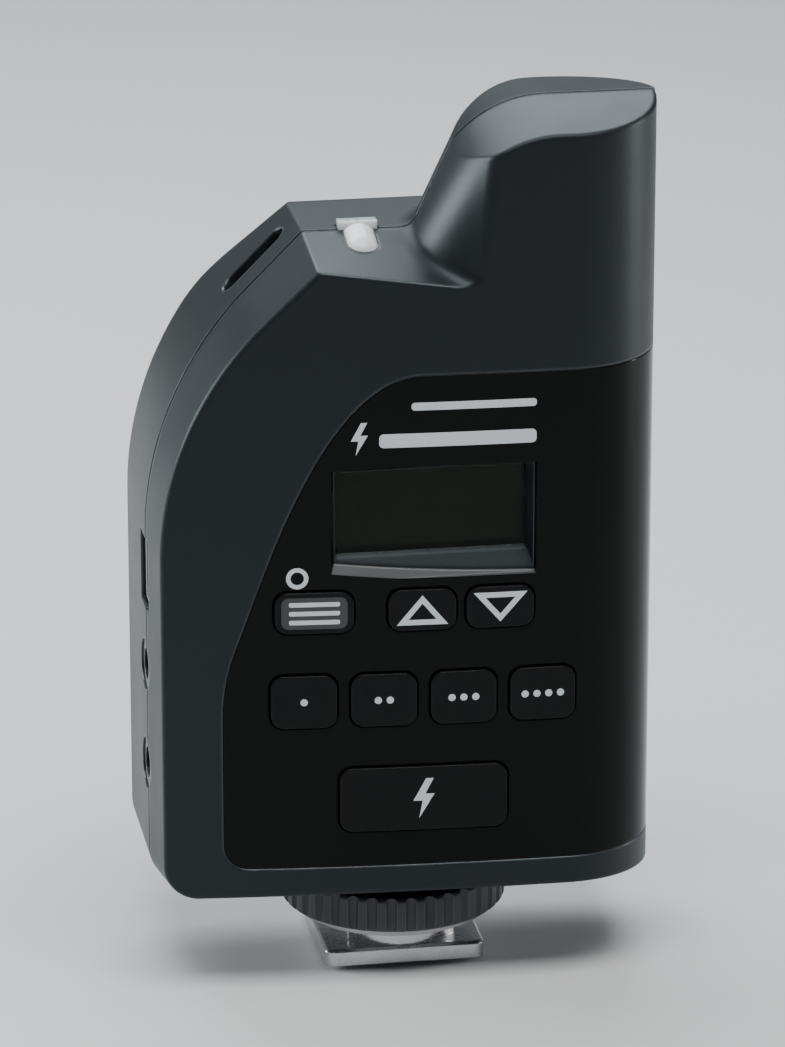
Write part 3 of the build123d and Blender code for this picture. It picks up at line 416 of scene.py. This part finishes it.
def cell_wrap(name, node, positive_up):
    """Battery: bare steel at both ends, a printed sleeve between them with a broad colour band."""
    steel, silver = (0.72, 0.71, 0.69), (0.62, 0.64, 0.66)
    blue, scuffed = (0.02, 0.12, 0.22), (0.4, 0.4, 0.4)
    sleeve_start, band_start, sleeve_end = 0.035, 0.70, 0.955  # shares of the cell's length
    g = Graph(name)
    low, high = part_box(node)
    ends = (low.z, high.z) if positive_up else (high.z, low.z)
    along = g.remap(g.coordinate("Z"), *ends, 0.0, 1.0)
    after = g.maths("GREATER_THAN", along, sleeve_start)
    before = g.maths("LESS_THAN", along, sleeve_end)
    sleeve = g.maths("MULTIPLY", after, before)
    scuff = g.remap(g.noise(1.0 * MM, 4.0, 0.7, (1, 1, 0.4)), 0.6, 0.75, 0.0, 0.35)
    printed = g.blend(g.maths("GREATER_THAN", along, band_start), silver, blue)
    return g.surface(
        Base_Color=g.blend(sleeve, steel, g.blend(scuff, printed, scuffed)),
        Metallic=g.remap(sleeve, 0.0, 1.0, 1.0, 0.25),
        Roughness=g.remap(g.noise(0.5 * MM), 0.3, 0.7, 0.26, 0.36),
        Normal=g.bump(g.noise(0.8 * MM), 0.008 * MM, 0.4),
    )


def floor_pale():
    """Matt pale grey board with a hint of fleck."""
    g = Graph("floor_pale")
    fleck = g.noise(1.5 * MM, 4.0, 0.6)
    return g.surface(
        Base_Color=g.blend(fleck, (0.62, 0.625, 0.63), (0.66, 0.665, 0.67)),
        Roughness=0.75,
        Normal=g.bump(fleck, 0.02 * MM, 0.2),
    )


# ------------------------------------------------------------------ which node gets which material
def dress_nodes():
    """Gives every CAD node its material; the nodes not listed are the key caps."""
    shell = case_plastic()
    panel = panel_gloss()
    keys = key_gloss()
    steel = metal("spring_steel", (0.62, 0.61, 0.59), 0.28)
    screw = metal("screw_steel", (0.42, 0.42, 0.42), 0.34)
    black_screw = metal("black_screw", (0.045, 0.045, 0.05), 0.36, edge_light=0.8)
    tin = metal("tin", (0.66, 0.66, 0.65), 0.30, (1, 1, 0.08))
    brass = metal("contact_brass", (0.72, 0.52, 0.24), 0.25)
    copper = metal("copper", (0.55, 0.24, 0.12), 0.30)
    foot = metal("foot_metal", (0.60, 0.60, 0.61), 0.24, (0.05, 1, 1))
    washer = metal("washer_steel", (0.40, 0.40, 0.41), 0.36, (1, 0.1, 1))
    ring = plastic("ring_nylon", (0.030, 0.031, 0.034), 0.46, 0.15, 0.5)
    chip = plastic("chip_black", (0.018, 0.018, 0.020), 0.55)
    socket = plastic("socket_black", (0.014, 0.014, 0.016), 0.30)
    natural = plastic("core_plastic", (0.72, 0.70, 0.62), 0.42, translucent=0.2)
    white = plastic("holder_plastic", (0.70, 0.70, 0.68), 0.45)
    guide = plastic("guide_clear", (0.80, 0.83, 0.86), 0.30, translucent=0.4)
    mat = plastic("mat_silicone", (0.36, 0.37, 0.38), 0.50, 0.3, 0.2, 0.3)
    dark_rubber = plastic("zebra_rubber", (0.05, 0.045, 0.05), 0.60)
    led = plastic("led_body", (0.80, 0.78, 0.66), 0.20, translucent=0.4)
    lead_black = plastic("lead_black", (0.02, 0.02, 0.022), 0.42, 0.1)
    lead_red = plastic("lead_red", (0.35, 0.02, 0.02), 0.42, 0.1)
    finishes = {
        "front_shell": shell,
        "rear_shell": shell,
        "battery_door": shell,
        "door_latch": shell,
        "face_panel": panel,
        "display_window": window_clear(),
        "lcd_panel": lcd_glass(),
        "lcd_holder": white,
        "light_guide": guide,
        "zebra_strips": dark_rubber,
        "keypad_mat": mat,
        "dome_switches": steel,
        "main_board": board_green(),
        "board_chips": chip,
        "rf_shield": tin,
        "aerial_coil": copper,
        "aerial_former": natural,
        "status_light_pipe": light_white(),
        "status_led": led,
        "sync_socket_lower": socket,
        "sync_socket_upper": socket,
        "usb_socket": tin,
        "battery_tray": chip,
        "battery_cell_left": cell_wrap("cell_wrap_left", "battery_cell_left", True),
        "battery_cell_right": cell_wrap("cell_wrap_right", "battery_cell_right", False),
        "battery_springs": steel,
        "battery_plates": steel,
        "battery_leads": lead_red,
        "door_hinge_pin": steel,
        "shoe_foot": foot,
        "clamp_washer": washer,
        "locking_ring": ring,
        "contact_bush": natural,
        "contact_pin": brass,
        "contact_spring": steel,
        "contact_terminal": brass,
        "shoe_leads": lead_black,
        "case_screws": black_screw,
        "board_screws": screw,
        "tray_screws": screw,
        "foot_screws": screw,
        "lanyard_pin": steel,
        "tripod_insert": brass,
    }
    for name, node in NODES.items():
        material = finishes.get(name, keys)
        node.data.materials.clear()
        node.data.materials.append(material)


# ------------------------------------------------------------------ marks that follow a surface
def surface_of(node):
    """Ray-cast tree of a CAD node."""
    mesh = NODES[node].data
    corners = [vertex.co for vertex in mesh.vertices]
    return BVHTree.FromPolygons(corners, [tuple(face.vertices) for face in mesh.polygons])


def depth_at(tree, x, z, from_front):
    """Y of the first surface met at x, z, coming from the display side or from the back."""
    inward = 1 if from_front else -1
    start = -inward * 100 * MM  # well outside the object
    place = tree.ray_cast(Vector((x, start, z)), Vector((0, inward, 0)))[0]
    if place is None:
        raise ValueError(f"no surface at {x:.4f}, {z:.4f}")
    return place.y


def split_long(mesh, longest=0.8 * MM):
    """Cut a flat mesh until no edge is longer than the limit, so that it can follow a curve."""
    while True:
        long_edges = [edge for edge in mesh.edges if edge.calc_length() > longest]
        if not long_edges:
            return
        bmesh.ops.subdivide_edges(mesh, edges=long_edges, cuts=1)
        bmesh.ops.triangulate(mesh, faces=[face for face in mesh.faces if len(face.verts) > 3])


def flat_shape(outline, hole):
    """Flat mesh in the XZ plane of an outline, with an optional hole of as many points."""
    mesh = bmesh.new()
    outer = [mesh.verts.new((x, 0, z)) for x, z in outline]
    if hole is None:
        for corners in tessellate([[Vector((x, z, 0)) for x, z in outline]]):
            mesh.faces.new([outer[k] for k in corners])
    else:
        inner = [mesh.verts.new((x, 0, z)) for x, z in hole]
        for k in range(len(outer)):
            after = (k + 1) % len(outer)
            mesh.faces.new((outer[k], outer[after], inner[after], inner[k]))
    split_long(mesh)
    return mesh


def mark(name, outline, node, body, material, hole=None, from_front=True, lift=PRINT_LIFT):
    """Thin closed plate of the given outline (and hole) laid on a CAD node's surface."""
    tree = surface_of(node)
    outward = -1 if from_front else 1
    mesh = flat_shape(outline, hole)
    sunk = list(mesh.verts)
    faces = list(mesh.faces)
    copied = bmesh.ops.extrude_face_region(mesh, geom=faces, use_keep_orig=True)["geom"]
    raised = [item for item in copied if isinstance(item, bmesh.types.BMVert)]
    for verts, offset in ((sunk, -PRINT_SINK), (raised, lift)):
        for vert in verts:
            vert.co.y = depth_at(tree, vert.co.x, vert.co.z, from_front) + outward * offset
    bmesh.ops.recalc_face_normals(mesh, faces=mesh.faces)
    data = bpy.data.meshes.new(name)
    mesh.to_mesh(data)
    mesh.free()
    data.materials.append(material)
    piece = bpy.data.objects.new(name, data)
    bpy.context.scene.collection.objects.link(piece)
    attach(piece, body)
    return piece


def circle(x, z, radius, count=28):
    """Circle as a closed outline of count points."""
    turns = [2 * math.pi * k / count for k in range(count)]
    return [(x + radius * math.cos(t), z + radius * math.sin(t)) for t in turns]


def bar(x, z, width, height, radius):
    """Rounded rectangle, as a closed outline."""
    corners = [(1, 1), (-1, 1), (-1, -1), (1, -1)]
    steps = 4
    points = []
    for quarter, (side, level) in enumerate(corners):
        middle_x = x + side * (width / 2 - radius)
        middle_z = z + level * (height / 2 - radius)
        for step in range(steps + 1):
            turn = math.radians(90 * (quarter + step / steps))
            points.append((middle_x + radius * math.cos(turn), middle_z + radius * math.sin(turn)))
    return points


def triangle(x, z, width, height, point_up, inset=0.0):
    """Isosceles triangle as a closed outline, drawn in by inset."""
    sign = 1 if point_up else -1
    half = width / 2
    inner = half - inset * (math.hypot(half, height) + half) / height
    base = -height / 2 + inset
    top = base + inner * height / half
    return [(x - inner, z + sign * base), (x + inner, z + sign * base), (x, z + sign * top)]


def bolt(x, z, half_height):
    """Lightning bolt, the usual sign for a flash."""
    shape = [
        (0.10, 1.0),
        (-0.50, -0.12),
        (-0.06, -0.12),
        (-0.22, -1.0),
        (0.50, 0.22),
        (0.06, 0.22),
        (0.46, 1.0),
    ]
    return [(x + half_height * u, z + half_height * v) for u, v in shape]


def centre_of(node):
    """Middle of a CAD node's box."""
    low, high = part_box(node)
    return (low + high) / 2


def print_panel(ink):
    """Bolt and two bars above the display, and the power ring above the mode key."""
    low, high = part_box("display_window")
    mode = centre_of("mode_key")
    panel = ("face_panel", "case", ink)
    row = high.z + 2.5 * MM
    upper_row = row + 3.9 * MM
    right = high.x - 0.8 * MM
    long_bar, thick = 17.6 * MM, 1.6 * MM
    short_bar, thin = 14.0 * MM, 0.9 * MM
    mark("print_bolt", bolt(low.x + 4.0 * MM, row + 0.3 * MM, 1.9 * MM), *panel)
    mark("print_bar_long", bar(right - long_bar / 2, row, long_bar, thick, 0.5 * MM), *panel)
    upper = bar(right - short_bar / 2, upper_row, short_bar, thin, 0.35 * MM)
    mark("print_bar_short", upper, *panel)
    spot = (mode.x - 1.85 * MM, mode.z + 4.05 * MM)
    ring, opening = circle(*spot, 1.25 * MM), circle(*spot, 0.75 * MM)
    mark("print_power_ring", ring, *panel, hole=opening)


def print_menu(ink, grey):
    """Menu sign on the mode key: three bars on a grey tab."""
    mode = centre_of("mode_key")
    key = ("mode_key", "mode_button")
    pitch = 1.05 * MM
    mark("print_menu_tab", bar(mode.x, mode.z, 7.4 * MM, 3.7 * MM, 0.8 * MM), *key, grey)
    for row in range(3):
        line = bar(mode.x, mode.z + (row - 1) * pitch, 5.7 * MM, 0.52 * MM, 0.2 * MM)
        mark(f"print_menu_bar_{row + 1}", line, *key, ink, lift=2 * PRINT_LIFT)


def print_arrows(ink):
    """Open triangles on the up and down keys."""
    height, stroke = 3.5 * MM, 0.62 * MM
    for word, width, point_up in (("up", 5.8 * MM, True), ("down", 6.1 * MM, False)):
        spot = centre_of(word + "_key")
        outer = triangle(spot.x, spot.z, width, height, point_up)
        inner = triangle(spot.x, spot.z, width, height, point_up, stroke)
        mark(f"print_{word}_arrow", outer, word + "_key", word + "_button", ink, hole=inner)


def print_pips(ink):
    """One to four dots on the zone keys."""
    pitch, radius = 1.35 * MM, 0.42 * MM
    for number in range(1, 5):
        key = (f"zone_key_{number}", f"zone_button_{number}")
        spot = centre_of(key[0])
        for pip in range(number):
            x = spot.x + (pip - (number - 1) / 2) * pitch
            mark(f"print_pip_{number}_{pip + 1}", circle(x, spot.z, radius, 16), *key, ink)


def print_test(ink):
    """Flash sign on the test key."""
    test = centre_of("test_key")
    mark("print_test_bolt", bolt(test.x, test.z, 2.4 * MM), "test_key", "test_button", ink)


def door_arrow(material):
    """Raised arrow on the battery door, pointing the way the latch slides to lock."""
    low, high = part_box("door_latch")
    below = 4.5 * MM
    outline = triangle((low.x + high.x) / 2, low.z - below, 4.6 * MM, 3.2 * MM, True)
    mark("door_arrow", outline, "battery_door", "door", material, from_front=False, lift=0.3 * MM)


def squeezing_coil():
    """Copy of the contact spring on a mesh of its own, carried by the case, with the original
    hidden.
    """
    piece = bpy.data.objects.new("contact_coil", NODES["contact_spring"].data)
    bpy.context.scene.collection.objects.link(piece)
    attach(piece, "case")
    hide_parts("contact_spring")
    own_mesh(piece)


# ------------------------------------------------------------------ stage
def add_floor():
    """Pale sweep: a floor that curves up into a backdrop far behind the object."""
    half, front, back, rise = 1.2, -1.2, 1.1, 1.0
    radius, steps = 0.5, 12
    profile = [(front, 0.0), (0.0, 0.0), (back - radius, 0.0)]
    for step in range(1, steps + 1):
        turn = math.radians(90 * step / steps)
        y = back - radius + radius * math.sin(turn)
        profile.append((y, radius * (1 - math.cos(turn))))
    profile.append((back, rise))
    mesh = bmesh.new()
    rows = [[mesh.verts.new((x, y, z)) for x in (-half, half)] for y, z in profile]
    for near, far in zip(rows, rows[1:]):
        mesh.faces.new((near[0], near[1], far[1], far[0])).smooth = True
    data = bpy.data.meshes.new("floor")
    mesh.to_mesh(data)
    mesh.free()
    data.materials.append(floor_pale())
    floor = bpy.data.objects.new("floor", data)
    bpy.context.scene.collection.objects.link(floor)
    floor.location.z = CAD_BOX[0].z


def add_light(name, place, target, power, width, height, colour=(1, 1, 1)):
    """Soft box of the given power in watts, turned to the target."""
    data = bpy.data.lights.new(name, "AREA")
    data.shape = "RECTANGLE"
    data.size = width
    data.size_y = height
    data.energy = power
    data.color = colour
    lamp = bpy.data.objects.new(name, data)
    lamp.location = place
    lamp.rotation_euler = (Vector(target) - Vector(place)).to_track_quat("-Z", "Y").to_euler()
    bpy.context.scene.collection.objects.link(lamp)


def add_lights():
    """Soft boxes behind, at the left and overhead, a narrow one on the right, and dim fill."""
    middle = (0, 0, 0.06)
    cool, cooler = (0.94, 0.98, 1.0), (0.88, 0.96, 1.0)
    add_light("high_back", (-0.06, 0.40, 0.47), middle, 3.1, 0.60, 0.24, cooler)
    add_light("left_box", (-0.52, 0.20, 0.18), middle, 2.8, 0.20, 0.20, cool)
    add_light("overhead", (0.0, -0.18, 0.60), middle, 3.9, 0.50, 0.26)
    add_light("right_strip", (0.36, 0.0, 0.11), (0, 0, 0.08), 0.5, 0.04, 0.20)
    world = bpy.data.worlds.new("studio")
    world.use_nodes = True
    background = world.node_tree.nodes["Background"]
    background.inputs["Color"].default_value = (0.80, 0.84, 0.90, 1)
    background.inputs["Strength"].default_value = 0.10
    bpy.context.scene.world = world


def add_camera():
    """Long lens aimed at the middle of the object, far enough back to leave a margin."""
    low, high = CAD_BOX
    centre = (low + high) / 2
    data = bpy.data.cameras.new("camera")
    data.lens = CAMERA_LENS
    data.sensor_fit = "VERTICAL"
    data.sensor_height = SENSOR_HEIGHT
    camera = bpy.data.objects.new("camera", data)
    azimuth, elevation = math.radians(CAMERA_AZIMUTH), math.radians(CAMERA_ELEVATION)
    back = Vector(
        (
            math.sin(azimuth) * math.cos(elevation),
            -math.cos(azimuth) * math.cos(elevation),
            math.sin(elevation),
        )
    )
    seen_height = (high.z - low.z) * math.cos(elevation) + (high.y - low.y) * math.sin(elevation)
    distance = FILL * seen_height * data.lens / data.sensor_height
    camera.location = centre + back * distance
    camera.rotation_euler = (-back).to_track_quat("-Z", "Y").to_euler()
    data.clip_start = 0.01
    bpy.context.scene.collection.objects.link(camera)
    bpy.context.scene.camera = camera


def main():
    dress_nodes()
    ink = print_white()
    grey = print_grey()
    print_panel(ink)
    print_menu(ink, grey)
    print_arrows(ink)
    print_pips(ink)
    print_test(ink)
    door_arrow(bpy.data.materials["case_plastic"])
    squeezing_coil()
    add_floor()
    add_lights()
    add_camera()


main()
